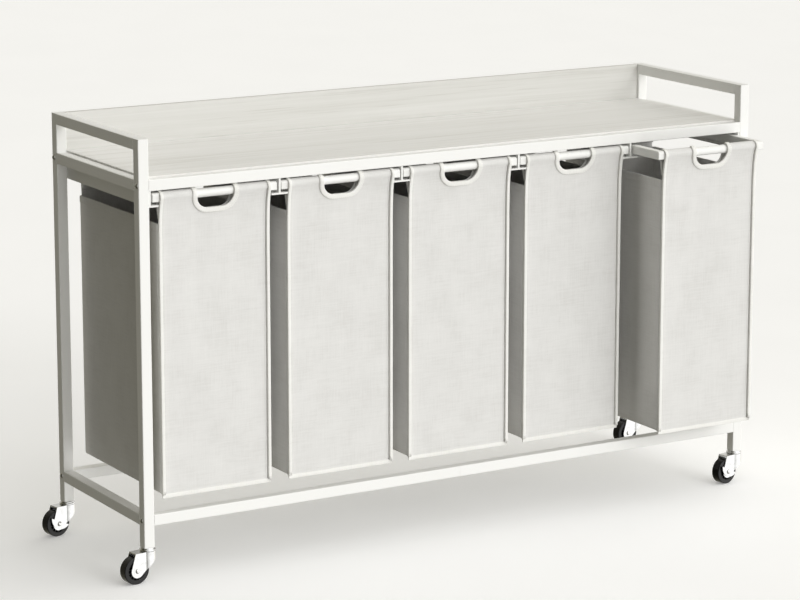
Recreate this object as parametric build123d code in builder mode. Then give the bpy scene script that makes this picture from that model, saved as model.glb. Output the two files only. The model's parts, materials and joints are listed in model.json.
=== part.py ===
from build123d import *
import os
from math import cos, radians, sin

os.makedirs("parts", exist_ok=True)

# A laundry sorter on wheels: a white steel frame with a shelf and a back board, five pull-out
# fabric bags that hang on runners under the shelf, and four swivel casters.
# Millimetres. +X runs to the right along the shelf, +Y from front to back, +Z up.
# Z = 0 is the floor. The origin is the middle of the whole footprint, which takes in the
# trailing casters on the left and the fifth bag, which stands partly pulled out.

# Frame
width = 1300.0
depth = 360.0
frame_x = 20.0
frame_y = 42.5
left = frame_x - width / 2
right = frame_x + width / 2
front = frame_y - depth / 2
back = frame_y + depth / 2
tube = 20.0
tube_wall = 1.2
tube_corner = 1.6
leg_bottom = 64.0
leg_length = 725.0
leg_top = leg_bottom + leg_length
top_rail_deep = 15.0
top_rail_bottom = leg_top - 91.5
top_rail_z = top_rail_bottom + tube / 2
bottom_rail_z = leg_top - 678.0
end_plate = 3.0
fit_gap = 0.2

# Shelf and back board
board_thick = 15.0
board_proud = 3.0
board_gap = 0.5
board_bottom = top_rail_bottom + tube + board_proud - board_thick
back_board_thick = 12.0
board_edge = 0.8

# Runners that carry the bags
runner_sheet = 3.5
flange_thick = 3.0
flange_half = 16.5
flange_top = leg_top - 117.0
seat_thick = 2.0
runner_inset = 1.0
rear_stop_thick = 3.0
rear_stop_high = 16.0
bay_pitch = 250.0
end_web = tube + runner_sheet
end_bay = (end_web + width / 2 - 1.5 * bay_pitch - runner_sheet / 2) / 2

# Bolts, screws and sockets
bolt_radius = 3.0
bolt_length = 34.0
bolt_head_radius = 5.2
bolt_head_high = 2.8
bolt_flat_radius = 2.4
bolt_dome_radius = 4.2
socket_radius = 1.8
socket_deep = 1.4
screw_radius = 2.0
screw_head_radius = 4.0
screw_head_high = 2.0
screw_bite = 11.0
runner_screw_side = 10.0
runner_screw_y = (front + 90, back - 90)
socket_low = leg_bottom - 1.5
socket_high = 28.0

# Bags
cloth = 2.0
bag_half = 107.0
bag_bottom = leg_top - 638.0
side_panel_top = leg_top - 153.0
bar_radius = 8.0
bar_wall = 1.2
bar_z = leg_top - 104.5
bar_inset = 10.0
bar_spacing = 326.0
sleeve_inner = bar_radius + 0.2
sleeve_outer = sleeve_inner + cloth
arm_inner = 108.5
arm_outer = 121.5
arm_top = leg_top - 96.0
arm_underside = leg_top - 112.0
arm_overhang = 8.5
arm_nose_round = 5.0
arm_end_round = 2.0
arm_edge_round = 1.2
arm_spigot = 8.0
arm_fit = 0.1
rib_inner = 112.0
rib_outer = 117.0
rib_start = 90.0
rib_gap = 0.3
handle_half = 37.0
handle_bottom = leg_top - 131.5
handle_corner = 24.0
base_board_thick = 3.0
pulled_out = 85.0

# Casters
wheel_radius = 25.0
wheel_half = 9.0
wheel_bore = 3.05
axle_radius = 3.0
trail = 27.0
fork_top = 56.5
fork_low = 11.0
fork_half = 11.2
fork_sheet = 1.6
fork_reach = 42.0
cup_radius = 14.5
cheek_radius = 12.5
stem_radius = 4.0
running_gap = 0.05
rib_count = 14
lever_gap = 0.2
lever_thick = 1.6


def level(z):
    """Horizontal plane at height z."""
    return Plane.XY.offset(z)


def upright(y):
    """Plane across the object at y; its own x and y are X and Z, and it faces -Y."""
    return Plane.XZ.offset(-y)


def crosswise(x):
    """Plane along the object's depth at x; its own x and y are Y and Z, and it faces +X."""
    return Plane.YZ.offset(x)


def save(builder, label):
    """Label a finished piece and write its STEP file."""
    builder.part.label = label
    export_step(builder.part, f"parts/{label}.step")


# ---------------------------------------------------------------- frame


def leg(label, x, y, top_rail_y):
    """Square tube upright, closed at the top, with bolt holes at both rails."""
    with BuildPart() as post:
        with BuildSketch(level(leg_bottom)):
            with Locations((x, y)):
                RectangleRounded(tube, tube, tube_corner)
        extrude(amount=leg_length)
        with BuildSketch(level(leg_bottom)):
            with Locations((x, y)):
                Rectangle(tube - 2 * tube_wall, tube - 2 * tube_wall)
        extrude(amount=leg_length - tube_wall, mode=Mode.SUBTRACT)
        with BuildSketch(crosswise(x - tube)):
            with Locations((top_rail_y, top_rail_z), (y, bottom_rail_z)):
                Circle(bolt_radius + fit_gap)
        extrude(amount=2 * tube, mode=Mode.SUBTRACT)
    save(post, label)


def side_tube(label, x, z):
    """Square tube from the front leg to the back leg, welded between them."""
    length = depth - 2 * tube
    with BuildPart() as rail:
        with BuildSketch(upright(front + tube)):
            with Locations((x, z)):
                RectangleRounded(tube, tube, tube_corner)
                Rectangle(tube - 2 * tube_wall, tube - 2 * tube_wall, mode=Mode.SUBTRACT)
        extrude(amount=-length)
    save(rail, label)


def long_top_rail(label, y):
    """Rail along the shelf, with an end plate that the bolt goes through at each leg."""
    length = width - 2 * tube
    with BuildPart() as rail:
        with BuildSketch(crosswise(left + tube)):
            with Locations((y, top_rail_z)):
                RectangleRounded(top_rail_deep, tube, tube_corner)
        extrude(amount=length)
        with BuildSketch(crosswise(left + tube + end_plate)):
            with Locations((y, top_rail_z)):
                Rectangle(top_rail_deep - 2 * tube_wall, tube - 2 * tube_wall)
        extrude(amount=length - 2 * end_plate, mode=Mode.SUBTRACT)
        with BuildSketch(crosswise(left)):
            with Locations((y, top_rail_z)):
                Circle(bolt_radius + fit_gap)
        extrude(amount=width, mode=Mode.SUBTRACT)
        if y > frame_y:
            with BuildSketch(level(top_rail_bottom)):
                with Locations(*[(x, y) for x in bay_centres]):
                    Circle(screw_radius + fit_gap)
            extrude(amount=tube, mode=Mode.SUBTRACT)
    save(rail, label)


def long_bottom_rail(label, y):
    """Bottom rail in two halves that butt at mid-width; each has an end plate at its leg."""
    half = width / 2 - tube
    bore = tube - 2 * tube_wall
    with BuildPart() as rail:
        for side in (-1, 1):
            outer_end = frame_x + side * (width / 2 - tube)
            with BuildSketch(crosswise(outer_end)):
                with Locations((y, bottom_rail_z)):
                    RectangleRounded(tube, tube, tube_corner)
            extrude(amount=-side * (half - fit_gap / 2))
            with BuildSketch(crosswise(outer_end - side * end_plate)):
                with Locations((y, bottom_rail_z)):
                    Rectangle(bore, bore)
            extrude(amount=-side * (half - end_plate), mode=Mode.SUBTRACT)
            with BuildSketch(crosswise(outer_end)):
                with Locations((y, bottom_rail_z)):
                    Circle(bolt_radius + fit_gap)
            extrude(amount=-side * end_plate, mode=Mode.SUBTRACT)
    save(rail, label)


def rail_joiners(label):
    """Square sleeves inside the bottom rails, across the joint at mid-width."""
    length = 90.0
    outside = tube - 2 * tube_wall - 2 * fit_gap
    with BuildPart() as sleeves:
        for y in (front + tube / 2, back - tube / 2):
            with BuildSketch(crosswise(frame_x - length / 2)):
                with Locations((y, bottom_rail_z)):
                    Rectangle(outside, outside)
                    Rectangle(outside - 2 * tube_wall, outside - 2 * tube_wall, mode=Mode.SUBTRACT)
            extrude(amount=length)
    save(sleeves, label)


def frame_bolts(label):
    """Round-headed socket bolts through the legs into the ends of the long rails."""
    places = [(front + top_rail_deep / 2, top_rail_z), (back - top_rail_deep / 2, top_rail_z)]
    places += [(front + tube / 2, bottom_rail_z), (back - tube / 2, bottom_rail_z)]
    with BuildPart() as bolts:
        for outward, x in ((-1, left), (1, right)):
            for y, z in places:
                with BuildSketch(Plane(origin=(x, y, z), x_dir=(outward, 0, 0), z_dir=(0, 0, 1))):
                    with BuildLine():
                        Polyline((bolt_head_high, bolt_flat_radius), (bolt_head_high, 0), (-bolt_length, 0),
                                 (-bolt_length, bolt_radius), (0, bolt_radius), (0, bolt_head_radius))
                        RadiusArc((0, bolt_head_radius), (bolt_head_high, bolt_flat_radius),
                                  bolt_dome_radius)
                    make_face()
                revolve(axis=Axis((x, y, z), (1, 0, 0)))
                with BuildSketch(crosswise(x + outward * (bolt_head_high - socket_deep))):
                    with Locations((y, z)):
                        RegularPolygon(socket_radius, 6)
                extrude(amount=outward * socket_deep, mode=Mode.SUBTRACT)
    save(bolts, label)


# ---------------------------------------------------------------- shelf, back board, runners


def shelf_board(label):
    """Board inside the top frame; its face stands a little above the rails."""
    with BuildPart() as board:
        with BuildSketch(level(board_bottom)):
            with Locations((frame_x, frame_y)):
                Rectangle(width - 2 * tube - 2 * board_gap, depth - 2 * top_rail_deep - 2 * board_gap)
        extrude(amount=board_thick)
        fillet(board.faces().sort_by(Axis.Z)[-1].edges(), board_edge)
        with BuildSketch(level(board_bottom)):
            with Locations(*runner_screw_places()):
                Circle(screw_radius + fit_gap)
        extrude(amount=screw_bite, mode=Mode.SUBTRACT)
    save(board, label)


def back_board(label):
    """Board on edge on the back rail, between the back legs, level with their tops."""
    y_face = back - top_rail_deep
    z_low = top_rail_bottom + tube
    with BuildPart() as board:
        with BuildSketch(level(z_low)):
            with Locations((frame_x, y_face + back_board_thick / 2)):
                Rectangle(width - 2 * tube - 2 * board_gap, back_board_thick)
        extrude(amount=leg_top - z_low)
        fillet(board.faces().sort_by(Axis.Z)[-1].edges(), board_edge)
        with BuildSketch(level(z_low)):
            with Locations(*[(x, back - top_rail_deep / 2) for x in bay_centres]):
                Circle(screw_radius + fit_gap)
        extrude(amount=screw_bite, mode=Mode.SUBTRACT)
    save(board, label)


def runner_screw_places():
    """Where the shelf screws go: two on each runner, beside its web."""
    places = [(x, 0) for x in centre_runner_x] + end_runner_webs
    return [(x + runner_screw_side * (side or 1), y) for x, side in places for y in runner_screw_y]


def runners(label, webs):
    """Bag runners: bottom flange, web, a seat under the shelf, and a rear stop for the bag.

    webs lists (x, side): side 0 is a T with its web in the middle, and 1 or -1 an L whose
    flange goes only to the right or only to the left of its web.
    """
    y_start = front + runner_inset
    seat_inset = top_rail_deep + runner_inset
    with BuildPart() as rails:
        for x, side in webs:
            low = x - (runner_sheet / 2 if side == 1 else flange_half)
            high = x + (runner_sheet / 2 if side == -1 else flange_half)
            middle = (low + high) / 2
            with BuildSketch(upright(y_start)):
                with Locations((middle, flange_top - flange_thick / 2)):
                    Rectangle(high - low, flange_thick)
                with Locations((x, (flange_top + top_rail_bottom) / 2)):
                    Rectangle(runner_sheet, top_rail_bottom - flange_top)
            extrude(amount=2 * runner_inset - depth)
            with BuildSketch(upright(front + seat_inset)):
                with Locations((x, (top_rail_bottom + board_bottom) / 2)):
                    Rectangle(runner_sheet, board_bottom - top_rail_bottom)
                with Locations((middle, board_bottom - seat_thick / 2)):
                    Rectangle(high - low, seat_thick)
            extrude(amount=2 * seat_inset - depth)
            with BuildSketch(upright(back - runner_inset - rear_stop_thick)):
                with Locations((middle, flange_top + rear_stop_high / 2)):
                    Rectangle(high - low, rear_stop_high)
            extrude(amount=-rear_stop_thick)
            with BuildSketch(level(board_bottom - seat_thick)):
                with Locations(*[(x + runner_screw_side * (side or 1), y) for y in runner_screw_y]):
                    Circle(screw_radius + fit_gap)
            extrude(amount=seat_thick, mode=Mode.SUBTRACT)
    save(rails, label)


def board_screws(label):
    """Pan-headed screws up through the runners into the shelf, and through the back rail."""
    seat_low = board_bottom - seat_thick
    shelf_screws = [(x, y, seat_low, seat_thick) for x, y in runner_screw_places()]
    back_screws = [(x, back - top_rail_deep / 2, top_rail_bottom, tube) for x in bay_centres]
    with BuildPart() as screws:
        for x, y, head_top, passes in shelf_screws + back_screws:
            with BuildSketch(level(head_top - screw_head_high)):
                with Locations((x, y)):
                    Circle(screw_head_radius)
            extrude(amount=screw_head_high)
            with BuildSketch(level(head_top)):
                with Locations((x, y)):
                    Circle(screw_radius)
            extrude(amount=passes + screw_bite - fit_gap)
    save(screws, label)


# ---------------------------------------------------------------- bags


def bag_fabric(label, x, y_front):
    """Open fabric bag: low sides, and a front and a back that loop over the two bars."""
    y_back = y_front + bar_spacing
    y_mid = (y_front + y_back) / 2
    with BuildPart() as fabric:
        with BuildSketch(level(bag_bottom)):
            with Locations((x, y_mid)):
                Rectangle(2 * bag_half, bar_spacing + cloth)
        extrude(amount=side_panel_top - bag_bottom)
        with BuildSketch(level(bag_bottom + cloth)):
            with Locations((x, y_mid)):
                Rectangle(2 * (bag_half - cloth), bar_spacing - cloth)
        extrude(amount=side_panel_top - bag_bottom, mode=Mode.SUBTRACT)
        for y in (y_front, y_back):
            with BuildSketch(level(side_panel_top)):
                with Locations((x, y)):
                    Rectangle(2 * bag_half, cloth)
            extrude(amount=bar_z - side_panel_top - sleeve_inner - cloth / 4)
            with BuildSketch(crosswise(x - bag_half)):
                with Locations((y, bar_z)):
                    Circle(sleeve_outer)
                    Circle(sleeve_inner, mode=Mode.SUBTRACT)
            extrude(amount=2 * bag_half)
        with BuildSketch(upright(y_front + 2 * bar_radius)):
            with Locations((x, (handle_bottom + leg_top) / 2)):
                cut = Rectangle(2 * handle_half, leg_top - handle_bottom)
            fillet(cut.vertices().group_by(Axis.Z)[0], handle_corner)
        extrude(amount=4 * bar_radius, mode=Mode.SUBTRACT)
    save(fabric, label)


def bag_bars(label, x, y_front):
    """The two round bars that the bag hangs on; the front one shows as the handle."""
    with BuildPart() as bars:
        for y in (y_front, y_front + bar_spacing):
            with BuildSketch(crosswise(x - arm_inner)):
                with Locations((y, bar_z)):
                    Circle(bar_radius)
                    Circle(bar_radius - bar_wall, mode=Mode.SUBTRACT)
            extrude(amount=2 * arm_inner)
    save(bars, label)


def bag_side_arms(label, x, y_front):
    """Moulded arms outside the bag's sides: beams with spigots that plug the bars' ends.

    A rib under each beam slides on the runner flange. It starts behind the front end, out of sight.
    """
    y_low = y_front - arm_overhang
    y_high = y_front + bar_spacing + arm_overhang
    rib_bottom = flange_top + rib_gap
    rib_length = y_high - arm_end_round - y_front - rib_start
    with BuildPart() as arms:
        for side in (-1, 1):
            with BuildSketch(crosswise(x + side * arm_inner)):
                with Locations(((y_low + y_high) / 2, (arm_top + arm_underside) / 2)):
                    Rectangle(y_high - y_low, arm_top - arm_underside)
            extrude(amount=side * (arm_outer - arm_inner))
        ends = arms.edges().filter_by(Axis.X)
        noses = ends.group_by(Axis.Y)[0].group_by(Axis.Z)[-1]
        heels = ends.group_by(Axis.Y)[0].group_by(Axis.Z)[0] + ends.group_by(Axis.Y)[-1]
        fillet(noses, arm_nose_round)
        fillet(heels, arm_end_round)
        outside = arms.faces().sort_by(Axis.X)
        fillet(outside[0].edges() + outside[-1].edges(), arm_edge_round)
        for side in (-1, 1):
            for y in (y_front, y_front + bar_spacing):
                with BuildSketch(crosswise(x + side * arm_inner)):
                    with Locations((y, bar_z)):
                        Circle(bar_radius - bar_wall - arm_fit)
                extrude(amount=-side * arm_spigot)
            with BuildSketch(level(rib_bottom)):
                with Locations((x + side * (rib_inner + rib_outer) / 2, y_front + rib_start + rib_length / 2)):
                    Rectangle(rib_outer - rib_inner, rib_length)
            extrude(amount=arm_underside - rib_bottom)
    save(arms, label)


def bag_base_board(label, x, y_front):
    """Stiff board that lies in the bottom of the bag and keeps it square."""
    gap = cloth / 2 + 1.5
    with BuildPart() as board:
        with BuildSketch(level(bag_bottom + cloth)):
            with Locations((x, y_front + bar_spacing / 2)):
                RectangleRounded(2 * (bag_half - gap - cloth / 2), bar_spacing - 2 * gap, 3.0)
        extrude(amount=base_board_thick)
    save(board, label)


# ---------------------------------------------------------------- casters


def trailing(angle):
    """Unit direction in which a caster trails, turned by angle towards the front."""
    return (-cos(radians(angle)), -sin(radians(angle)), 0)


def near(angle):
    """Unit direction of a caster's axle, pointing to its front side."""
    return (sin(radians(angle)), -cos(radians(angle)), 0)


def side_of_caster(x, y, angle, out=0.0):
    """Plane in a caster's middle; its own x trails and its y is up. out moves it to the front."""
    n = near(angle)
    return Plane(origin=(x + n[0] * out, y + n[1] * out, 0), x_dir=trailing(angle), z_dir=(-n[0], -n[1], 0))


def axle_point(x, y, angle):
    """Centre of a caster's wheel."""
    u = trailing(angle)
    return (x + u[0] * trail, y + u[1] * trail, wheel_radius)


def leg_sockets(label):
    """Plastic plugs in the legs' lower ends, bored for the caster stems."""
    inside = tube - 2 * tube_wall - 2 * fit_gap
    with BuildPart() as sockets:
        for x, y in caster_places.values():
            with BuildSketch(level(socket_low)):
                with Locations((x, y)):
                    RectangleRounded(tube, tube, tube_corner)
            extrude(amount=leg_bottom - socket_low)
            with BuildSketch(level(leg_bottom)):
                with Locations((x, y)):
                    Rectangle(inside, inside)
            extrude(amount=socket_high)
            with BuildSketch(level(socket_low)):
                with Locations((x, y)):
                    Circle(stem_radius + fit_gap)
            extrude(amount=leg_bottom - socket_low + socket_high, mode=Mode.SUBTRACT)
    save(sockets, label)


def caster_stems(label):
    """Stems with their two-step bearing caps; the riveted lower end holds the fork."""
    rivet_low = fork_top - fork_sheet - 2.5
    rivet_top = fork_top - fork_sheet - fit_gap
    cap_low = fork_top + fit_gap
    cap_step = cap_low + 3.3
    stem_top = leg_bottom + socket_high - 2.0
    with BuildPart() as stems:
        for x, y in caster_places.values():
            with BuildSketch(Plane(origin=(x, y, 0), x_dir=(1, 0, 0), z_dir=(0, -1, 0))):
                with BuildLine():
                    Polyline((0, rivet_low), (6.0, rivet_low), (7.0, rivet_low + 1.0), (7.0, rivet_top),
                             (stem_radius, rivet_top), (stem_radius, cap_low), (14.0, cap_low),
                             (14.8, cap_low + 0.8), (14.8, cap_step - 0.8), (14.0, cap_step),
                             (12.5, cap_step), (12.5, socket_low - 0.8), (11.7, socket_low),
                             (stem_radius, socket_low), (stem_radius, stem_top), (0, stem_top),
                             close=True)
                make_face()
            revolve(axis=Axis((x, y, 0), (0, 0, 1)))
    save(stems, label)


def fork(label, x, y, angle):
    """Pressed steel fork: a round cup under the leg and two cheeks that reach back to the axle."""
    with BuildPart() as yoke:
        with BuildSketch(Plane(origin=(x, y, fork_low), x_dir=trailing(angle), z_dir=(0, 0, 1))):
            Circle(cup_radius)
            with Locations((fork_reach / 2, 0)):
                Rectangle(fork_reach, 2 * fork_half)
        extrude(amount=fork_top - fork_low)
        with BuildSketch(Plane(origin=(x, y, fork_low), x_dir=trailing(angle), z_dir=(0, 0, 1))):
            Circle(cup_radius - fork_sheet)
            with Locations((fork_reach / 2 + 1, 0)):
                Rectangle(fork_reach + 2, 2 * (fork_half - fork_sheet))
        extrude(amount=fork_top - fork_sheet - fork_low, mode=Mode.SUBTRACT)
        with BuildSketch(side_of_caster(x, y, angle, 2 * cup_radius)):
            with BuildLine():
                CenterArc((trail, wheel_radius), cheek_radius, 0, 360)
                Polyline((-cup_radius - 1, fork_top - 9), (-cup_radius - 1, fork_top), (30.5, fork_top))
            make_hull()
        extrude(amount=4 * cup_radius, both=True, mode=Mode.INTERSECT)
        with BuildSketch(side_of_caster(x, y, angle, 2 * cup_radius)):
            with Locations((trail, wheel_radius)):
                Circle(axle_radius + fit_gap)
        extrude(amount=4 * cup_radius, both=True, mode=Mode.SUBTRACT)
        with BuildSketch(Plane(origin=(x, y, fork_top - 2 * fork_sheet), z_dir=(0, 0, 1))):
            Circle(stem_radius + running_gap)
        extrude(amount=3 * fork_sheet, mode=Mode.SUBTRACT)
    save(yoke, label)


def wheel(label, x, y, angle):
    """Hard wheel with a rounded tread, a hub, a thin disc and ribs on both faces."""
    centre = axle_point(x, y, angle)
    hub_radius = 7.5
    rim_inner = 16.5
    rim_round = 1.6
    with BuildPart() as roller:
        with BuildSketch(Plane(origin=centre, x_dir=near(angle), z_dir=trailing(angle))):
            with Locations((0, (rim_inner + wheel_radius) / 2)):
                rim = Rectangle(2 * wheel_half, wheel_radius - rim_inner)
            fillet(rim.vertices().group_by(Axis.Z)[-1], rim_round)
            with Locations((0, (hub_radius + rim_inner) / 2)):
                Rectangle(5.0, rim_inner - hub_radius + 1)
            with Locations((0, (wheel_bore + hub_radius) / 2)):
                Rectangle(2 * wheel_half, hub_radius - wheel_bore)
        revolve(axis=Axis(centre, near(angle)))
        rib_reach = rim_inner - hub_radius + 1
        rib_half = wheel_half - 1.5
        rib_start = tuple(c - n * rib_half for c, n in zip(centre, near(angle)))
        with BuildSketch(Plane(origin=rib_start, x_dir=(0, 0, 1), z_dir=near(angle))):
            with PolarLocations((hub_radius + rim_inner) / 2, rib_count):
                Rectangle(rib_reach, 1.4)
        extrude(amount=2 * rib_half)
    save(roller, label)


def axle(label, x, y, angle, stack):
    """Axle bolt with a domed head; stack is the room that a brake lever takes under the head."""
    centre = axle_point(x, y, angle)
    head_high = 2.4
    head_radius = 4.6
    head_flat = 1.6
    dome_radius = 4.0
    far_end = -fork_half - head_high
    head_face = fork_half + stack
    with BuildPart() as pin:
        with BuildSketch(Plane(origin=centre, x_dir=near(angle), z_dir=trailing(angle))):
            with BuildLine():
                Polyline((head_face + head_high, head_flat), (head_face + head_high, 0), (far_end, 0),
                         (far_end, head_radius - 0.6), (far_end + 0.6, head_radius),
                         (-fork_half, head_radius), (-fork_half, axle_radius), (head_face, axle_radius),
                         (head_face, head_radius))
                RadiusArc((head_face, head_radius), (head_face + head_high, head_flat), dome_radius)
            make_face()
        revolve(axis=Axis(centre, near(angle)))
    save(pin, label)


def brake_lever(label, x, y, angle):
    """Crescent of steel sheet that rocks on the axle outside the front cheek."""
    n = near(angle)
    centre = axle_point(x, y, angle)
    face = tuple(c + k * (fork_half + lever_gap) for c, k in zip(centre, n))
    leading = tuple(-k for k in trailing(angle))
    with BuildPart() as lever:
        with BuildSketch(Plane(origin=face, x_dir=leading, z_dir=n)):
            with BuildLine():
                Line((-17.0, 13.0), (20.5, -5.0))
                ThreePointArc((20.5, -5.0), (-1.0, -10.0), (-17.0, 13.0))
            make_face()
            Circle(wheel_bore, mode=Mode.SUBTRACT)
        extrude(amount=lever_thick)
    save(lever, label)


# ---------------------------------------------------------------- where things go

centre_runner_x = [frame_x + (k - 1.5) * bay_pitch for k in range(4)]
end_runner_webs = [(left + end_web - runner_sheet / 2, 1), (right - end_web + runner_sheet / 2, -1)]
bay_centres = [left + end_bay] + [frame_x + (k - 1) * bay_pitch for k in range(3)] + [right - end_bay]
caster_places = {
    "front_left": (left + tube / 2, front + tube / 2),
    "front_right": (right - tube / 2, front + tube / 2),
    "back_left": (left + tube / 2, back - tube / 2),
    "back_right": (right - tube / 2, back - tube / 2),
}
# How far each caster has swung round from trailing straight to the left, in degrees.
caster_angles = {"front_left": 6.0, "front_right": 10.0, "back_left": 11.0, "back_right": 7.0}
braked_casters = ("front_right", "back_left")

for corner, (corner_x, corner_y) in caster_places.items():
    rail_y = front + top_rail_deep / 2 if corner_y < frame_y else back - top_rail_deep / 2
    leg(f"leg_{corner}", corner_x, corner_y, rail_y)
for side_name, tube_x in (("left", left + tube / 2), ("right", right - tube / 2)):
    side_tube(f"handrail_{side_name}", tube_x, leg_top - tube / 2)
    side_tube(f"side_top_rail_{side_name}", tube_x, top_rail_z)
    side_tube(f"side_bottom_rail_{side_name}", tube_x, bottom_rail_z)
long_top_rail("front_top_rail", front + top_rail_deep / 2)
long_top_rail("back_top_rail", back - top_rail_deep / 2)
long_bottom_rail("front_bottom_rail", front + tube / 2)
long_bottom_rail("back_bottom_rail", back - tube / 2)
rail_joiners("rail_joiners")
frame_bolts("frame_bolts")
shelf_board("shelf_board")
back_board("back_board")
for number, runner_x in enumerate(centre_runner_x, start=1):
    runners(f"centre_runner_{number}", [(runner_x, 0)])
runners("end_runners", end_runner_webs)
board_screws("board_screws")
leg_sockets("leg_sockets")
caster_stems("caster_stems")

for number, bag_x in enumerate(bay_centres, start=1):
    bar_y = front + bar_inset - (pulled_out if number == 5 else 0)
    bag_fabric(f"bag_{number}_fabric", bag_x, bar_y)
    bag_bars(f"bag_{number}_bars", bag_x, bar_y)
    bag_side_arms(f"bag_{number}_side_arms", bag_x, bar_y)
    bag_base_board(f"bag_{number}_base_board", bag_x, bar_y)

for corner, (corner_x, corner_y) in caster_places.items():
    turn = caster_angles[corner]
    braked = corner in braked_casters
    fork(f"caster_{corner}_fork", corner_x, corner_y, turn)
    wheel(f"caster_{corner}_wheel", corner_x, corner_y, turn)
    axle(f"caster_{corner}_axle", corner_x, corner_y, turn, lever_thick + 2 * lever_gap if braked else 0)
    if braked:
        brake_lever(f"caster_{corner}_brake_lever", corner_x, corner_y, turn)
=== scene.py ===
import json
import math

import bmesh
import bpy
import numpy as np
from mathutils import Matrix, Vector, noise


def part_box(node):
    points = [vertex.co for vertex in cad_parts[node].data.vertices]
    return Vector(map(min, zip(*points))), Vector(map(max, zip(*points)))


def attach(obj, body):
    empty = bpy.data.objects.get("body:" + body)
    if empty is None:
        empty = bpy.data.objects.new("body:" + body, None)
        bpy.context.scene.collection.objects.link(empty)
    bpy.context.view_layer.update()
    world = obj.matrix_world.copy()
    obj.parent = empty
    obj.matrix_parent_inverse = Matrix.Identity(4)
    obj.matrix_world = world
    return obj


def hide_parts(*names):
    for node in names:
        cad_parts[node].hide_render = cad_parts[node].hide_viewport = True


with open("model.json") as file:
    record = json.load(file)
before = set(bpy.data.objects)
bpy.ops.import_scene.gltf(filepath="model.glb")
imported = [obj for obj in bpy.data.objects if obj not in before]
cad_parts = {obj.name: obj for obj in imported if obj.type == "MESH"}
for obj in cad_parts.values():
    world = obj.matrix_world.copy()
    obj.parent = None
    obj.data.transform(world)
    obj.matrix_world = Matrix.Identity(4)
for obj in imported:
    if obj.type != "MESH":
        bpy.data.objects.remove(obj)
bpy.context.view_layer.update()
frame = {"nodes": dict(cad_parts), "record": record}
nodes = frame["nodes"]

MM = 0.001

# The bags, in millimetres, with x across, y back from the middle of the front bar, z from the floor.
HALF = 107.0
SPACING = 326.0
BOTTOM = 151.0
SIDE_TOP = 636.0
SHEET = 1.5
FACE = 1.2
BACK_CORNER = 5.0
BASE_SAG = 1.2

# The sleeve over a bar: where the cloth leaves it, and the flap that runs down inside to its seam and
# reaches up again a little way under the handle opening.
BAR_RADIUS = 8.0
BAR_Z = 684.5
SLEEVE = 9.8
LEAVE = math.radians(20.0)
LEAVE_Z = BAR_Z - SLEEVE * math.sin(LEAVE)
LEAVE_Y = SLEEVE * math.cos(LEAVE)
FALL = (LEAVE_Y - FACE) / math.tan(LEAVE)
FLAP_LOW = 646.0
FLAP_LEAN = SLEEVE - SHEET - 0.6
FLAP_REACH = 34.0

# The handle opening and the folded tape round it.
HOLE_HALF = 37.0
HOLE_BOTTOM = 657.5
HOLE_CORNER = 24.0
HANDLE_TAPE_IN = 1.0
HANDLE_TAPE_OUT = 8.0
HANDLE_TAPE_BACK = 1.4
HANDLE_TAPE_PROUD = 2.3
HANDLE_WOBBLE = 0.3

# The groove in the front panel, and the bound edge beside it and along the base.
GROOVE_OUTER = HALF - 4.6
GROOVE_INNER = HALF - 6.6
GROOVE_WALL = 0.25
GROOVE_LIP = 0.6
GROOVE_DEEP = 4.5
EDGE_IN = 4.8
EDGE_OUT = 1.0
EDGE_PROUD = 3.6
EDGE_BACK = 1.2
EDGE_CORNER = 1.2
EDGE_WOBBLE = 0.15
BAR_PROUD = 1.5
BASE_HEM = 5.5
BASE_IN = 2.0
BASE_PROUD = 0.7
BASE_STEPS = 30
TAPE_ROUND = 0.8

# The hems of the side panels.
HEM_LOW = 12.0
HEM_IN = SHEET + 0.9
HEM_THICK = 0.8
HEM_WOBBLE = 0.5

# Stitches: their size, and how far in they run from the groove, the base, the side tops and the opening.
STITCH_LONG = 2.6
STITCH_PITCH = 4.0
STITCH_RADIUS = 0.42
EDGE_STITCH = 2.5
BASE_STITCH = 8.0
HEM_STITCH = 9.0
HANDLE_STITCH = 6.2

# Each side panel sags by noise of its own: what is added to the bag's seed, right (1) and left (-1).
SIDE_SEED = {1: 21, -1: 31}

# Light. The warmths are blue over red, in the dim and in the bright parts of the sky. The backdrop and the
# floor glow by themselves at the levels given.
SHADE_BELOW = 0.3
SHADE_WARMTH = 0.70
LIGHT_WARMTH = 0.97
BACKDROP_LEVEL = 0.93
FLOOR_GLOW = 0.22

# Depth of the handling marks on plated steel, in metres.
SCRATCH_DEEP = 0.00002


# ---------------------------------------------------------------- mesh helpers


def make_object(name, verts, faces, material):
    """A mesh object from millimetre points in the row frame."""
    mesh = bpy.data.meshes.new(name)
    mesh.from_pydata([tuple(float(c) * MM for c in v) for v in verts], [], [tuple(f) for f in faces])
    mesh.validate()
    bm = bmesh.new()
    bm.from_mesh(mesh)
    bmesh.ops.remove_doubles(bm, verts=bm.verts, dist=0.00002)
    bmesh.ops.recalc_face_normals(bm, faces=bm.faces)
    bm.to_mesh(mesh)
    bm.free()
    for p in mesh.polygons:
        p.use_smooth = True
    obj = bpy.data.objects.new(name, mesh)
    bpy.context.scene.collection.objects.link(obj)
    mesh.materials.append(material)
    return obj


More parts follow.
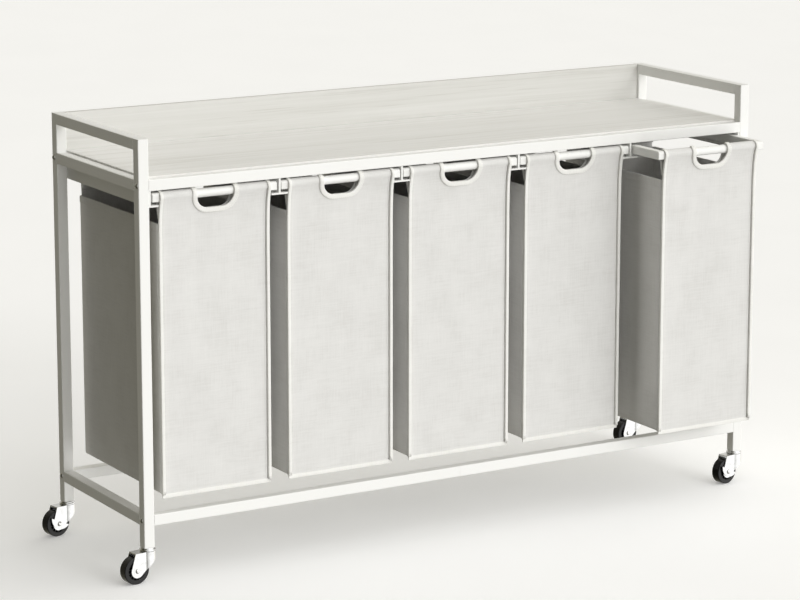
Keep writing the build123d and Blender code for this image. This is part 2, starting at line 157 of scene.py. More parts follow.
class Shape:
    """Collects vertices and faces for one object."""

    def __init__(self):
        self.verts = []
        self.faces = []

    def grid(self, points, wrap=False):
        """Quads over a rows x columns array of points; wrap closes the columns into a loop."""
        points = np.asarray(points, float)
        rows, cols = points.shape[:2]
        start = len(self.verts)
        self.verts.extend(points.reshape(-1, 3))
        for i in range(rows - 1):
            for j in range(cols if wrap else cols - 1):
                k = (j + 1) % cols
                self.faces.append((start + i * cols + j, start + i * cols + k,
                                   start + (i + 1) * cols + k, start + (i + 1) * cols + j))
        return start

    def sweep(self, rings):
        """A closed skin over a list of equal rings, capped at both ends."""
        count = len(rings[0])
        start = self.grid(rings, wrap=True)
        self.faces.append(tuple(start + k for k in range(count)))
        last = start + (len(rings) - 1) * count
        self.faces.append(tuple(last + k for k in reversed(range(count))))


def rounded_profile(u0, u1, v0, v1, radius, steps=3):
    """Closed loop of a rectangle with rounded corners, as (u, v) pairs."""
    loop = []
    for cu, cv, turn in ((u1 - radius, v1 - radius, 0), (u0 + radius, v1 - radius, 90),
                         (u0 + radius, v0 + radius, 180), (u1 - radius, v0 + radius, 270)):
        for k in range(steps + 1):
            a = math.radians(turn + 90 * k / steps)
            loop.append((cu + radius * math.cos(a), cv + radius * math.sin(a)))
    return loop


def smooth_noise(seed, *coords):
    """Soft noise from -1 to 1 with its own place for each seed."""
    c = list(coords) + [0.0] * (3 - len(coords))
    return noise.noise(Vector((c[0] + 17.3 * seed, c[1] - 9.1 * seed, c[2] + 5.7 * seed)))


# ---------------------------------------------------------------- bag geometry


def panel_fall(z):
    """How far the front panel stands forward of the bar's middle, at height z."""
    if z >= LEAVE_Z:
        return math.sqrt(max(SLEEVE ** 2 - (z - BAR_Z) ** 2, 0.0))
    return FACE + (LEAVE_Y - FACE) * math.exp(-(LEAVE_Z - z) / FALL)


def panel_wave(x, z, seed):
    """Slight waves of the front and back panels, fading out at their edges and at the bar."""
    edge = 1 - min(abs(x) / HALF, 1) ** 4
    up = min(max((LEAVE_Z - z) / 60.0, 0), 1)
    low = min(max((z - BOTTOM) / 40.0, 0), 1)
    broad = smooth_noise(seed, x / 95.0, z / 150.0)
    fine = smooth_noise(seed + 3, x / 38.0, z / 70.0)
    folds = math.exp(-(LEAVE_Z - z) / 90.0) * smooth_noise(seed + 7, x / 17.0, z / 160.0)
    return edge * up * (0.4 + 0.6 * low) * (1.6 * broad + 0.6 * fine + 1.1 * folds)


def side_sag(y, z, seed):
    """How far a side panel hangs in between the front and the back panel."""
    along = math.sin(math.pi * min(max(y / SPACING, 0), 1)) ** 0.8
    height = (z - BOTTOM) / (SIDE_TOP - BOTTOM)
    bow = 3.4 * math.sin(math.pi * min(max(height, 0), 1) ** 0.8) + 1.8 * height
    wave = 1.2 * smooth_noise(seed, y / 120.0, z / 130.0) + 0.4 * smooth_noise(seed + 5, y / 45.0, z / 60.0)
    return along * (bow + wave)


def panel_columns():
    """Column positions across the front panel, closer together round the handle opening."""
    outer = [-HALF, -GROOVE_OUTER, -GROOVE_OUTER + GROOVE_WALL]
    outer += [-GROOVE_INNER - GROOVE_WALL, -GROOVE_INNER, -GROOVE_INNER + GROOVE_LIP]
    outer += list(np.linspace(-GROOVE_INNER + 4, -HOLE_HALF, 9))[:-1]
    flat = HOLE_HALF - HOLE_CORNER
    arc = [-flat - HOLE_CORNER * math.cos(math.radians(a)) for a in np.linspace(0, 90, 9)]
    middle = list(np.linspace(-flat, flat, 7))[1:-1]
    left_part = outer + arc
    return left_part + middle + [-c for c in reversed(left_part)]


def hole_top(x):
    """Height of the lower edge of the handle opening at x, up to where the cloth meets the bar."""
    flat = HOLE_HALF - HOLE_CORNER
    if abs(x) >= HOLE_HALF - 1e-6:
        return LEAVE_Z
    dx = max(abs(x) - flat, 0)
    return min(HOLE_BOTTOM + HOLE_CORNER - math.sqrt(max(HOLE_CORNER ** 2 - dx ** 2, 0)), LEAVE_Z)


def flap_y(t):
    """How far the flap stands behind the bar's middle, at share t of the way down to its seam."""
    return SLEEVE - FLAP_LEAN * t ** 1.4


def groove(x):
    """How far the front panel dips beside its bound edges."""
    if abs(x) >= GROOVE_OUTER or abs(x) <= GROOVE_INNER:
        return 0.0
    return GROOVE_DEEP


def front_point(x, z, seed):
    """A point on the front panel."""
    return (x, groove(x) - panel_fall(z) - panel_wave(x, z, seed), z)


def back_point(x, z, seed):
    """A point on the back panel."""
    return (x, SPACING + panel_fall(z) + panel_wave(x, z, seed + 11), z)


def edge_ease(z):
    """Inset of the sides and the back where they turn under the base."""
    r = BACK_CORNER
    if z >= BOTTOM + r:
        return 0.0
    return r - math.sqrt(max(r ** 2 - (BOTTOM + r - z) ** 2, 0))


def side_line(z, seed, side):
    """One side of the bag's outline at height z, front to back, round its back corner; side is 1 or -1."""
    inset = edge_ease(z)
    half = HALF - inset
    y_front = -panel_fall(z)
    corner_y = SPACING + panel_fall(z) - BACK_CORNER
    line = []
    for t in np.linspace(0, 1, 27)[1:]:
        y = y_front + (corner_y - y_front) * t
        line.append((side * (half - side_sag(y, z, seed + SIDE_SEED[side])), y, z))
    for degrees in (22.5, 45.0, 67.5):
        a = math.radians(degrees)
        line.append((side * (half - BACK_CORNER + BACK_CORNER * math.cos(a)),
                     corner_y + (BACK_CORNER - inset) * math.sin(a), z))
    return line


def bag_rim_loop(z, seed, columns):
    """The bag's outline at height z: front, right side, back, left side."""
    front = [front_point(x, z, seed) for x in columns]
    limit = HALF - BACK_CORNER
    back = []
    for x in reversed(back_columns(columns)):
        back.append((max(-limit, min(limit, x)), back_point(x, z, seed)[1] - edge_ease(z), z))
    return front + side_line(z, seed, 1) + back + side_line(z, seed, -1)[::-1]


def back_columns(columns):
    """Column positions across the back panel, between its rounded corners."""
    limit = HALF - BACK_CORNER
    return [-limit] + [x for x in columns if abs(x) < limit - 1] + [limit]


def bag_cloth(name, origin, seed, material):
    """The sewn bag: a lofted shell with a base, and front and back panels that loop over the bars."""
    columns = panel_columns()
    shape = Shape()
    low_rows = [BOTTOM + BACK_CORNER * (1 - math.cos(math.radians(a))) for a in (0, 20, 40, 60, 80, 90)]
    rows = low_rows + list(np.linspace(BOTTOM + BACK_CORNER, SIDE_TOP, 62))[1:]
    loops = [bag_rim_loop(z, seed, columns) for z in rows]
    shape.grid(loops, wrap=True)

    # Base: the lowest loop drawn in towards the middle, with a slight sag between its edges.
    lowest = np.array(loops[0])
    middle = np.array((0.0, SPACING / 2, BOTTOM))
    rings = []
    for s in (1.0, 0.97, 0.85, 0.65, 0.4, 0.15, 0.03):
        ring = middle + (lowest - middle) * s
        ring[:, 2] = BOTTOM - BASE_SAG * (1 - s ** 2)
        rings.append(ring)
    start = shape.grid(rings, wrap=True)
    count = len(lowest)
    last = start + (len(rings) - 1) * count
    shape.faces.append(tuple(last + k for k in range(count)))

    # Front panel above the side panels, up to the opening or to the bar.
    upper = []
    for t in np.linspace(0, 1, 15):
        upper.append([front_point(x, SIDE_TOP + (hole_top(x) - SIDE_TOP) * t, seed) for x in columns])
    shape.grid(upper)
    back_x = back_columns(columns)
    upper_back = []
    for t in np.linspace(0, 1, 9):
        upper_back.append([back_point(x, SIDE_TOP + (LEAVE_Z - SIDE_TOP) * t, seed) for x in back_x])
    shape.grid(upper_back)

    # The sleeves over the bars, then the flap that runs down inside to its seam.
    over = [math.radians(degrees) for degrees in np.linspace(-math.degrees(LEAVE), 180, 21)]
    wrap = [(SLEEVE * math.cos(a), BAR_Z + SLEEVE * math.sin(a)) for a in over]
    flap = [(flap_y(t), BAR_Z + (FLAP_LOW - BAR_Z) * t) for t in np.linspace(0, 1, 8)[1:]]
    outer_left = [x for x in columns if x <= -HOLE_HALF + 1e-6]
    outer_right = [x for x in columns if x >= HOLE_HALF - 1e-6]
    for part in (outer_left, outer_right):
        strip = [[(x, -y, z) for x in part] for y, z in wrap]
        strip[0] = [front_point(x, LEAVE_Z, seed) for x in part]
        strip += [[(x, y, z) for x in part] for y, z in flap]
        shape.grid(strip)
    strip = [[(x, SPACING + y, z) for x in back_x] for y, z in wrap]
    strip += [[(x, SPACING - y, z) for x in back_x] for y, z in flap]
    shape.grid(strip)

    # The flap goes on under the opening, so that the inside layer has the same edge.
    inner = []
    for t in np.linspace(0, 1, 5):
        row = []
        for x in [x for x in columns if abs(x) <= HOLE_HALF + 1e-6]:
            z = FLAP_LOW + (min(hole_top(x), FLAP_LOW + FLAP_REACH) - FLAP_LOW) * t
            share = (z - FLAP_LOW) / (BAR_Z - FLAP_LOW)
            row.append((x, flap_y(1 - share), z))
        inner.append(row)
    shape.grid(inner)

    verts = np.array(shape.verts) + np.array(origin)
    cloth = make_object(name, verts, shape.faces, material)
    thick = cloth.modifiers.new("thickness", "SOLIDIFY")
    thick.thickness = SHEET * MM
    thick.offset = -1.0
    thick.use_even_offset = False
    apply_modifiers(cloth)
    return cloth


def apply_modifiers(obj):
    """Keep the shape that the modifiers give, as the object's own mesh."""
    bpy.context.view_layer.update()
    depsgraph = bpy.context.evaluated_depsgraph_get()
    mesh = bpy.data.meshes.new_from_object(obj.evaluated_get(depsgraph))
    obj.modifiers.clear()
    obj.data = mesh
    for p in mesh.polygons:
        p.use_smooth = True


def edge_path():
    """Path of the bound edge: down the left side, along the base, up the right side.

    Each entry has its kind, x, the angle round the bar or the height z, the direction outward as (x, z),
    and how far it has turned from the side, 0, to the base, 1.
    """
    path = []
    for a in np.linspace(90, -math.degrees(LEAVE), 12):
        path.append(("bar", -HALF, a, (-1, 0), 0.0))
    for z in np.linspace(LEAVE_Z, BOTTOM + EDGE_CORNER, 60)[1:]:
        path.append(("face", -HALF, z, (-1, 0), 0.0))
    for k in range(1, 9):
        a = math.radians(10 * k)
        x = -HALF + EDGE_CORNER * (1 - math.cos(a))
        z = BOTTOM + EDGE_CORNER * (1 - math.sin(a))
        path.append(("face", x, z, (-math.cos(a), -math.sin(a)), k / 9))
    for x in np.linspace(-HALF + EDGE_CORNER, HALF - EDGE_CORNER, BASE_STEPS):
        path.append(("face", x, BOTTOM, (0, -1), 1.0))
    right = [(kind, -x, z, (-o[0], o[1]), turn) for kind, x, z, o, turn in reversed(path[:-BASE_STEPS])]
    return path + right


def bag_edge_binding(name, origin, seed, material):
    """Folded tape round the seam allowance of the front panel, standing forward of it."""
    shape = Shape()
    rings = []
    for k, (kind, x, z, out, turn) in enumerate(edge_path()):
        wobble = EDGE_WOBBLE * smooth_noise(seed + 41, k / 3.0)
        out_vec = np.array((out[0], 0.0, out[1]))
        if kind == "bar":
            a = math.radians(z)
            normal = np.array((0.0, -math.cos(a), math.sin(a)))
            base = np.array((x, 0.0, BAR_Z)) + normal * SLEEVE
            proud = BAR_PROUD + (EDGE_PROUD - BAR_PROUD) * max(math.cos(a), 0) ** 2
        else:
            normal = np.array((0.0, -1.0, 0.0))
            base = np.array((x, -panel_fall(z), z))
            proud = EDGE_PROUD * (1 - turn) + BASE_PROUD * turn
        u0 = -EDGE_IN * (1 - turn) - BASE_IN * turn
        if 0 < turn < 1:
            # The tape's outer corner stays nearly square where it goes round from the side to the base.
            a = math.radians(90 * turn)
            u1 = min(EDGE_OUT / math.cos(a), BASE_HEM / math.sin(a)) - 0.2 * math.sin(2 * a)
        else:
            u1 = BASE_HEM if turn else EDGE_OUT
        ring = [base + out_vec * (u + wobble) + normal * v
                for u, v in rounded_profile(u0, u1, -EDGE_BACK, proud, TAPE_ROUND)]
        rings.append(ring)
    shape.sweep(rings)
    return make_object(name, np.array(shape.verts) + np.array(origin), shape.faces, material)


def handle_path():
    """Path round the handle opening: positions, in-plane outward direction, and surface normal."""
    flat = HOLE_HALF - HOLE_CORNER
    path = []
    for a in np.linspace(90, -math.degrees(LEAVE), 12):
        r = math.radians(a)
        normal = (0.0, -math.cos(r), math.sin(r))
        path.append(((-HOLE_HALF, normal[1] * SLEEVE, BAR_Z + normal[2] * SLEEVE), (-1, 0, 0), normal))
    for deg in np.linspace(0, 90, 15)[1:]:
        a = math.radians(deg)
        x = -flat - HOLE_CORNER * math.cos(a)
        z = HOLE_BOTTOM + HOLE_CORNER * (1 - math.sin(a))
        path.append(surface_place(x, z, (-math.cos(a), -math.sin(a))))
    left_part = list(path)
    for x in np.linspace(-flat, flat, 9)[1:-1]:
        path.append(surface_place(x, HOLE_BOTTOM, (0.0, -1.0)))
    for p, out, normal in reversed(left_part):
        path.append(((-p[0], p[1], p[2]), (-out[0], out[1], out[2]), normal))
    return path


def surface_place(x, z, out):
    """A point on the front panel with the in-plane outward direction and the panel's normal there."""
    slope = panel_fall(z + 0.5) - panel_fall(z - 0.5)
    length = math.hypot(1, slope)
    normal = (0.0, -1 / length, -slope / length)
    down = out[1]
    along = (out[0], -slope * down / length, down / length)
    return (x, -panel_fall(z), z), along, normal


def bag_handle_binding(name, origin, seed, material):
    """Wide folded tape round the handle opening."""
    profile = rounded_profile(-HANDLE_TAPE_IN, HANDLE_TAPE_OUT,
                              -HANDLE_TAPE_BACK, HANDLE_TAPE_PROUD, TAPE_ROUND)
    shape = Shape()
    rings = []
    for k, (p, out, normal) in enumerate(handle_path()):
        wobble = HANDLE_WOBBLE * smooth_noise(seed + 51, k / 4.0)
        base, out, normal = np.array(p), np.array(out), np.array(normal)
        ring = [base + out * (u + (wobble if u > 0 else 0)) + normal * v for u, v in profile]
        rings.append(ring)
    shape.sweep(rings)
    return make_object(name, np.array(shape.verts) + np.array(origin), shape.faces, material)


def add_stitches(shape, points, normals):
    """Thread over a line of points: a short rounded bead every few millimetres."""
    points = np.asarray(points, float)
    steps = np.linalg.norm(np.diff(points, axis=0), axis=1)
    along = np.concatenate([[0], np.cumsum(steps)])
    count = int(along[-1] / STITCH_PITCH)
    for k in range(count):
        ends = []
        for s in (k * STITCH_PITCH, k * STITCH_PITCH + STITCH_LONG):
            ends.append(np.array([np.interp(s, along, points[:, c]) for c in range(3)]))
        i = min(int(np.searchsorted(along, k * STITCH_PITCH)), len(normals) - 1)
        normal = np.array(normals[i], float)
        direction = ends[1] - ends[0]
        direction /= max(np.linalg.norm(direction), 1e-9)
        side = np.cross(direction, normal)
        rings = []
        for t, r in ((0.0, 0.45), (0.2, 1.0), (0.8, 1.0), (1.0, 0.45)):
            centre = ends[0] + (ends[1] - ends[0]) * t + normal * (0.25 * r - 0.15)
            rings.append([centre + STITCH_RADIUS * r * (side * math.cos(a) + normal * math.sin(a))
                          for a in np.linspace(0, 2 * math.pi, 7)[:-1]])
        shape.sweep(rings)


def bag_stitching(name, origin, seed, material):
    """Seam stitches of the front edges, the hems and the handle opening."""
    shape = Shape()
    forward = (0.0, -1.0, 0.0)
    for side in (-1, 1):
        x = side * (GROOVE_INNER - EDGE_STITCH)
        line = [front_point(x, z, seed) for z in np.linspace(LEAVE_Z, BOTTOM + BASE_STITCH, 90)]
        add_stitches(shape, line, [forward] * len(line))
        hem = []
        for y in np.linspace(4, SPACING - 6, 60):
            sag = side_sag(y, SIDE_TOP - HEM_STITCH, seed + SIDE_SEED[side])
            hem.append((side * (HALF - sag), y, SIDE_TOP - HEM_STITCH))
        add_stitches(shape, hem, [(side, 0, 0)] * len(hem))
    line = [front_point(x, BOTTOM + BASE_STITCH, seed) for x in np.linspace(-HALF + 6, HALF - 6, 60)]
    add_stitches(shape, line, [forward] * len(line))
    line, normals = [], []
    for p, out, normal in handle_path():
        line.append(np.array(p) + np.array(out) * HANDLE_STITCH + np.array(normal) * HANDLE_TAPE_PROUD)
        normals.append(normal)
    add_stitches(shape, line, normals)
    return make_object(name, np.array(shape.verts) + np.array(origin), shape.faces, material)


def bag_side_hems(name, origin, seed, material):
    """Turned-over hem along the top edge of each side panel."""
    shape = Shape()
    for side in (-1, 1):
        rings = []
        for y in np.linspace(0.5, SPACING - 2, 50):
            sag = side_sag(y, SIDE_TOP - HEM_LOW / 2, seed + SIDE_SEED[side])
            x = side * (HALF - sag)
            lift = HEM_WOBBLE * smooth_noise(seed + 61, y / 40.0, side)
            profile = rounded_profile(-HEM_IN, HEM_THICK, SIDE_TOP - HEM_LOW + lift,
                                      SIDE_TOP + HEM_THICK + lift, TAPE_ROUND)
            rings.append([(x + side * u, y, z) for u, z in profile])
        shape.sweep(rings)
    return make_object(name, np.array(shape.verts) + np.array(origin), shape.faces, material)


# ---------------------------------------------------------------- materials


class Nodes:
    """Small helper round one material's node tree."""

    def __init__(self, name):
        self.material = bpy.data.materials.new(name)
        self.material.use_nodes = True
        self.tree = self.material.node_tree
        self.shader = next(n for n in self.tree.nodes if n.type == "BSDF_PRINCIPLED")
        self.coords = self.tree.nodes.new("ShaderNodeTexCoord").outputs["Object"]

    def node(self, kind, **settings):
        made = self.tree.nodes.new(kind)
        for key, value in settings.items():
            if key in made.inputs:
                made.inputs[key].default_value = value
            else:
                setattr(made, key, value)
        return made

    def link(self, a, b):
        self.tree.links.new(a, b)

    def scaled(self, scale):
        mapping = self.node("ShaderNodeMapping", Scale=scale)
        self.link(self.coords, mapping.inputs["Vector"])
        return mapping.outputs["Vector"]

    def noise(self, scale, detail=3.0, vector=None, rough=0.5, distortion=0.0):
        made = self.node("ShaderNodeTexNoise", Scale=scale, Detail=detail, Roughness=rough,
                         Distortion=distortion)
        self.link(vector or self.coords, made.inputs["Vector"])
        return made.outputs["Fac"]

    def ramp(self, value, low, high, start=0.0, end=1.0):
        made = self.node("ShaderNodeMapRange")
        made.inputs["From Min"].default_value = start
        made.inputs["From Max"].default_value = end
        made.inputs["To Min"].default_value = low
        made.inputs["To Max"].default_value = high
        self.link(value, made.inputs["Value"])
        return made.outputs["Result"]

    def colours(self, value, stops):
        made = self.node("ShaderNodeValToRGB")
        elements = made.color_ramp.elements
        while len(elements) < len(stops):
            elements.new(0.5)
        for element, (place, colour) in zip(elements, stops):
            element.position = place
            element.color = (*colour, 1.0)
        self.link(value, made.inputs["Fac"])
        return made.outputs["Color"]

    def math(self, operation, a, b):
        made = self.node("ShaderNodeMath", operation=operation)
        for k, v in enumerate((a, b)):
            if isinstance(v, (int, float)):
                made.inputs[k].default_value = v
            else:
                self.link(v, made.inputs[k])
        return made.outputs["Value"]

    def bump(self, height, distance, strength=1.0):
        made = self.node("ShaderNodeBump", Strength=strength, Distance=distance)
        self.link(height, made.inputs["Height"])
        self.link(made.outputs["Normal"], self.shader.inputs["Normal"])

    def colour_in(self, socket):
        self.link(socket, self.shader.inputs["Base Color"])

    def rough_in(self, socket):
        self.link(socket, self.shader.inputs["Roughness"])


def paint(name, colour, dark, roughness):
    """Powder coat: fine orange peel and a very slight drift in tone."""
    m = Nodes(name)
    drift = m.noise(5.0, 4.0)
    m.colour_in(m.colours(drift, [(0.3, dark), (0.7, colour)]))
    m.rough_in(m.ramp(m.noise(40.0), roughness - 0.05, roughness + 0.07, 0.3, 0.7))
    m.bump(m.noise(650.0, 2.0), 0.00006)
    return m.material


def whitewashed_wood(name, pale, mid, dark, grain_axis_scale):
    """Whitewashed boards: long streaks along X, broad bands, and fine open pores."""
    m = Nodes(name)
    streaks = m.noise(1.0, 8.0, m.scaled(grain_axis_scale), 0.62, 0.6)
    broad = m.noise(1.0, 3.0, m.scaled(tuple(c * 0.22 for c in grain_axis_scale)), 0.5, 1.2)
    pores = m.noise(1.0, 2.0, m.scaled(tuple(c * 4.0 for c in grain_axis_scale)), 0.5)
    mixed = m.math("ADD", m.math("MULTIPLY", streaks, 0.62), m.math("MULTIPLY", broad, 0.38))
    mixed = m.math("SUBTRACT", mixed, m.ramp(pores, 0.09, 0.0, 0.30, 0.42))
    m.colour_in(m.colours(mixed, [(0.34, dark), (0.47, mid), (0.62, pale)]))
    m.rough_in(m.ramp(mixed, 0.62, 0.45, 0.35, 0.65))
    m.bump(mixed, 0.00035, 0.6)
    return m.material


def linen(name, pale, mid, dark, sheen):
    """Fine plain weave with slubs both ways and a soft mottle."""
    m = Nodes(name)
    split = m.node("ShaderNodeSeparateXYZ")
    m.link(m.coords, split.inputs["Vector"])
    across = m.math("ADD", split.outputs["X"], split.outputs["Y"])
    pitch = 2 * math.pi / 0.0011
    warp = m.math("SINE", m.math("MULTIPLY", across, pitch), 0.0)
    weft = m.math("SINE", m.math("MULTIPLY", split.outputs["Z"], pitch), 0.0)
    weave = m.math("MULTIPLY", warp, weft)
    slub_up = m.noise(1.0, 4.0, m.scaled((420.0, 420.0, 26.0)), 0.6)
    slub_across = m.noise(1.0, 4.0, m.scaled((26.0, 26.0, 420.0)), 0.6)
    slubs = m.math("ADD", m.math("MULTIPLY", slub_up, 0.5), m.math("MULTIPLY", slub_across, 0.5))
    mottle = m.noise(16.0, 4.0, rough=0.6)
    tone = m.math("ADD", m.math("MULTIPLY", slubs, 0.6), m.math("MULTIPLY", mottle, 0.4))
    m.colour_in(m.colours(tone, [(0.36, dark), (0.5, mid), (0.64, pale)]))
    m.rough_in(m.ramp(slubs, 0.95, 0.8, 0.35, 0.65))
    height = m.math("ADD", m.math("MULTIPLY", weave, 0.35), m.math("MULTIPLY", slubs, 1.6))
    m.bump(height, 0.00016, 0.5)
    m.shader.inputs["Sheen Weight"].default_value = sheen
    m.shader.inputs["Sheen Roughness"].default_value = 0.5
    return m.material


def plated(name, colour, roughness):
    """Bright plated steel with faint handling marks."""
    m = Nodes(name)
    m.shader.inputs["Metallic"].default_value = 1.0
    cloud = m.noise(120.0, 4.0)
    dull = tuple(c * 0.86 for c in colour)
    m.colour_in(m.colours(cloud, [(0.3, dull), (0.7, colour)]))
    m.rough_in(m.ramp(m.noise(300.0, 3.0), roughness - 0.04, roughness + 0.1, 0.3, 0.7))
    m.bump(m.noise(1.0, 2.0, m.scaled((900.0, 900.0, 160.0))), SCRATCH_DEEP)
    return m.material


def plastic(name, colour, dark, roughness, grain, coat=0.0, shine=0.5):
    """Moulded plastic with a fine spark-eroded grain."""
    m = Nodes(name)
    m.colour_in(m.colours(m.noise(30.0, 3.0), [(0.3, dark), (0.7, colour)]))
    m.rough_in(m.ramp(m.noise(200.0), roughness - 0.05, roughness + 0.08, 0.3, 0.7))
    m.bump(m.noise(1400.0, 2.0), grain)
    m.shader.inputs["Specular IOR Level"].default_value = shine
    m.shader.inputs["Coat Weight"].default_value = coat
    m.shader.inputs["Coat Roughness"].default_value = 0.12
    return m.material


frame_white = paint("frame_paint", (0.93, 0.93, 0.915), (0.905, 0.905, 0.885), 0.36)
runner_white = paint("runner_paint", (0.91, 0.91, 0.895), (0.885, 0.885, 0.865), 0.4)
bar_white = paint("bar_paint", (0.94, 0.94, 0.925), (0.92, 0.92, 0.90), 0.28)
shelf_grain = whitewashed_wood("shelf_wood", (0.91, 0.905, 0.89), (0.865, 0.86, 0.84), (0.765, 0.755, 0.725),
                               (2.2, 60.0, 60.0))
back_grain = whitewashed_wood("back_board_wood", (0.75, 0.745, 0.72), (0.705, 0.70, 0.67),
                              (0.61, 0.60, 0.565), (1.6, 60.0, 90.0))
base_grey = whitewashed_wood("base_board_card", (0.70, 0.69, 0.66), (0.64, 0.63, 0.60), (0.56, 0.55, 0.52),
                             (20.0, 60.0, 60.0))
cloth_look = linen("bag_linen", (0.80, 0.795, 0.78), (0.765, 0.76, 0.745), (0.71, 0.703, 0.685), 0.12)
tape_look = linen("binding_tape", (0.93, 0.925, 0.90), (0.90, 0.895, 0.865), (0.84, 0.835, 0.80), 0.1)
thread_look = linen("stitch_thread", (0.82, 0.815, 0.79), (0.78, 0.775, 0.75), (0.72, 0.715, 0.69), 0.0)
arm_white = plastic("arm_plastic", (0.91, 0.91, 0.89), (0.88, 0.88, 0.86), 0.42, 0.00003)
socket_white = plastic("socket_plastic", (0.88, 0.88, 0.86), (0.85, 0.85, 0.83), 0.45, 0.00003)
zinc = plated("zinc_plate", (0.86, 0.865, 0.87), 0.16)
# The bolt plating is toned darker than the zinc: a painted dark reflection of the dim surroundings that the
# domed heads face.
bolt_plate_painted_dark = plated("bolt_plate_painted_dark", (0.72, 0.72, 0.71), 0.14)
wheel_black = plastic("wheel_black", (0.009, 0.009, 0.010), (0.005, 0.005, 0.006), 0.22, 0.00002, 0.12, 0.3)

looks = {
    "frame_paint": frame_white,
    "runner_paint": runner_white,
    "bar_paint": bar_white,
    "shelf_wood": shelf_grain,
    "base_board": base_grey,
    "bag_fabric": cloth_look,
    "arm_plastic": arm_white,
    "socket_plastic": socket_white,
    "zinc": zinc,
    "bolt_steel": bolt_plate_painted_dark,
    "wheel_black": wheel_black,
}
for part in frame["record"]["subparts"]:
    obj = nodes[part["node"]]
    look = back_grain if part["node"] == "back_board" else looks[part["material_slot"]]
    obj.data.materials.clear()
    obj.data.materials.append(look)


# ---------------------------------------------------------------- the bags


for number in range(1, 6):
    low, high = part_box(f"bag_{number}_bars")
    bar_low, bar_high = low / MM, high / MM
    origin = ((bar_low.x + bar_high.x) / 2, bar_low.y + BAR_RADIUS, 0.0)
    seed = number * 2
    body = f"bag_{number}"
    cloth = bag_cloth(f"bag_{number}_cloth", origin, seed, cloth_look)
    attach(cloth, body)
    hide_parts(f"bag_{number}_fabric")
    extras = [
        bag_edge_binding(f"bag_{number}_edge_binding", origin, seed, tape_look),
        bag_handle_binding(f"bag_{number}_handle_binding", origin, seed, tape_look),
        bag_side_hems(f"bag_{number}_side_hems", origin, seed, cloth_look),
        bag_stitching(f"bag_{number}_stitching", origin, seed, thread_look),
    ]
    for piece in extras:
        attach(piece, body)


# ---------------------------------------------------------------- stage, light, camera


def make_floor():
    """Large plain pale floor. It throws no light back on the object: the lower half of the sky does that."""
    m = Nodes("floor_paper")
    m.colour_in(m.colours(m.noise(3.0, 3.0), [(0.3, (0.87, 0.87, 0.87)), (0.7, (0.89, 0.89, 0.89))]))
    m.shader.inputs["Roughness"].default_value = 0.9
    m.shader.inputs["Specular IOR Level"].default_value = 0.1
    m.shader.inputs["Emission Color"].default_value = (1.0, 1.0, 1.0, 1.0)
    m.shader.inputs["Emission Strength"].default_value = FLOOR_GLOW
    size = 60.0
    corners = [(-size, -size, 0), (size, -size, 0), (size, size, 0), (-size, size, 0)]
    add_stage("floor", corners, [(0, 1, 2, 3)], m.material)


def make_backdrop():
    """Pale paper wall all round, far off. Only the camera sees it, so it keeps no light off the object."""
    m = Nodes("backdrop_paper")
    m.shader.inputs["Base Color"].default_value = (0.0, 0.0, 0.0, 1.0)
    m.shader.inputs["Specular IOR Level"].default_value = 0.0
    m.shader.inputs["Emission Color"].default_value = (1.0, 1.0, 0.985, 1.0)
    m.shader.inputs["Emission Strength"].default_value = BACKDROP_LEVEL
    radius, height, count = 55.0, 50.0, 64
    turns = [2 * math.pi * k / count for k in range(count)]
    ring = [(radius * math.cos(a), radius * math.sin(a)) for a in turns]
    points = [(x, y, 0.0) for x, y in ring] + [(x, y, height) for x, y in ring]
    faces = [(k, (k + 1) % count, count + (k + 1) % count, count + k) for k in range(count)]
    backdrop = add_stage("backdrop", points, faces, m.material)
    backdrop.visible_shadow = False


def add_stage(name, points, faces, material):
    """A stage object, in metres, that neither lights the object nor shows in its reflections."""
    mesh = bpy.data.meshes.new(name)
    mesh.from_pydata(points, [], faces)
    mesh.materials.append(material)
    obj = bpy.data.objects.new(name, mesh)
    bpy.context.scene.collection.objects.link(obj)
    obj.visible_diffuse = False
    obj.visible_glossy = False
    return obj


def sky_lobe(tree, coords, direction, stops):
    """Sky brightness that depends only on how far a direction is from the lobe's own."""
    toward = tree.nodes.new("ShaderNodeVectorMath")
    toward.operation = "DOT_PRODUCT"
    toward.inputs[1].default_value = Vector(direction).normalized()
    shift = tree.nodes.new("ShaderNodeMapRange")
    shift.inputs["From Min"].default_value = -1.0
    ramp = tree.nodes.new("ShaderNodeValToRGB")
    elements = ramp.color_ramp.elements
    while len(elements) < len(stops):
        elements.new(0.5)
    for element, (place, level) in zip(elements, stops):
        element.position = place
        warm = SHADE_WARMTH if level < SHADE_BELOW else LIGHT_WARMTH
        element.color = (level, level * (0.8 + 0.2 * warm), level * warm, 1.0)
    tree.links.new(coords, toward.inputs[0])
    tree.links.new(toward.outputs["Value"], shift.inputs["Value"])
    tree.links.new(shift.outputs["Result"], ramp.inputs["Fac"])
    return ramp.outputs["Color"]


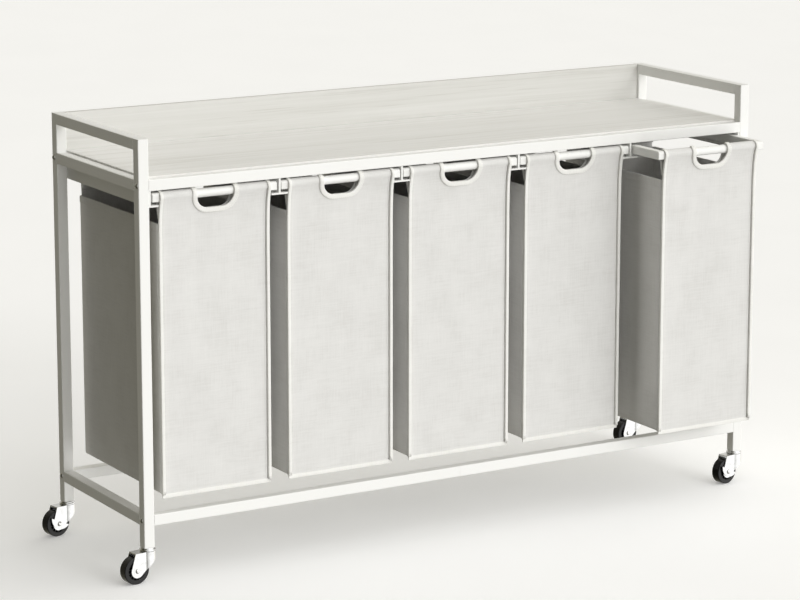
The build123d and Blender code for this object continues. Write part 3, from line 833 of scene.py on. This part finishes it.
def make_light():
    """Soft sky, bright to the front right, dim and warm away from it, a glow behind, and a key light."""
    world = bpy.data.worlds.new("studio")
    bpy.context.scene.world = world
    world.use_nodes = True
    tree = world.node_tree
    back = next(n for n in tree.nodes if n.type == "BACKGROUND")
    coords = tree.nodes.new("ShaderNodeTexCoord").outputs["Generated"]
    front_lobe = sky_lobe(tree, coords, (0.64, -0.68, 0.25),
                          [(0.0, 0.05), (0.38, 0.075), (0.5, 0.17), (0.66, 0.72), (0.85, 1.2), (1.0, 1.45)])
    back_lobe = sky_lobe(tree, coords, (0.45, 0.85, 0.10),
                         [(0.0, 0.0), (0.5, 0.0), (0.75, 0.25), (1.0, 0.6)])
    both = tree.nodes.new("ShaderNodeVectorMath")
    both.operation = "ADD"
    tree.links.new(front_lobe, both.inputs[0])
    tree.links.new(back_lobe, both.inputs[1])
    tree.links.new(both.outputs["Vector"], back.inputs["Color"])
    sun = bpy.data.lights.new("key", "SUN")
    sun.energy = 0.5
    sun.angle = math.radians(20)
    key = bpy.data.objects.new("key", sun)
    to_light = Vector((0.30, -0.85, 0.35)).normalized()
    key.rotation_euler = to_light.to_track_quat("Z", "Y").to_euler()
    bpy.context.scene.collection.objects.link(key)


def make_camera():
    """Long lens from the front left, about 1.6 m up and looking slightly down."""
    azimuth = math.radians(30.53)
    pitch = math.radians(11.185)
    place = Vector((-2.8096, -4.7151, 1.6135))
    data = bpy.data.cameras.new("camera")
    data.sensor_width = 36.0
    data.lens = 134.7885
    data.shift_y = -0.075
    data.clip_start = 0.1
    data.clip_end = 200.0
    camera = bpy.data.objects.new("camera", data)
    level = Vector((math.sin(azimuth), math.cos(azimuth), 0.0))
    forward = level * math.cos(pitch) + Vector((0, 0, -1)) * math.sin(pitch)
    camera.location = place
    camera.rotation_mode = "QUATERNION"
    camera.rotation_quaternion = forward.to_track_quat("-Z", "Y")
    bpy.context.scene.collection.objects.link(camera)
    bpy.context.scene.camera = camera


make_floor()
make_backdrop()
make_light()
make_camera()
bpy.context.scene.view_settings.view_transform = "Standard"
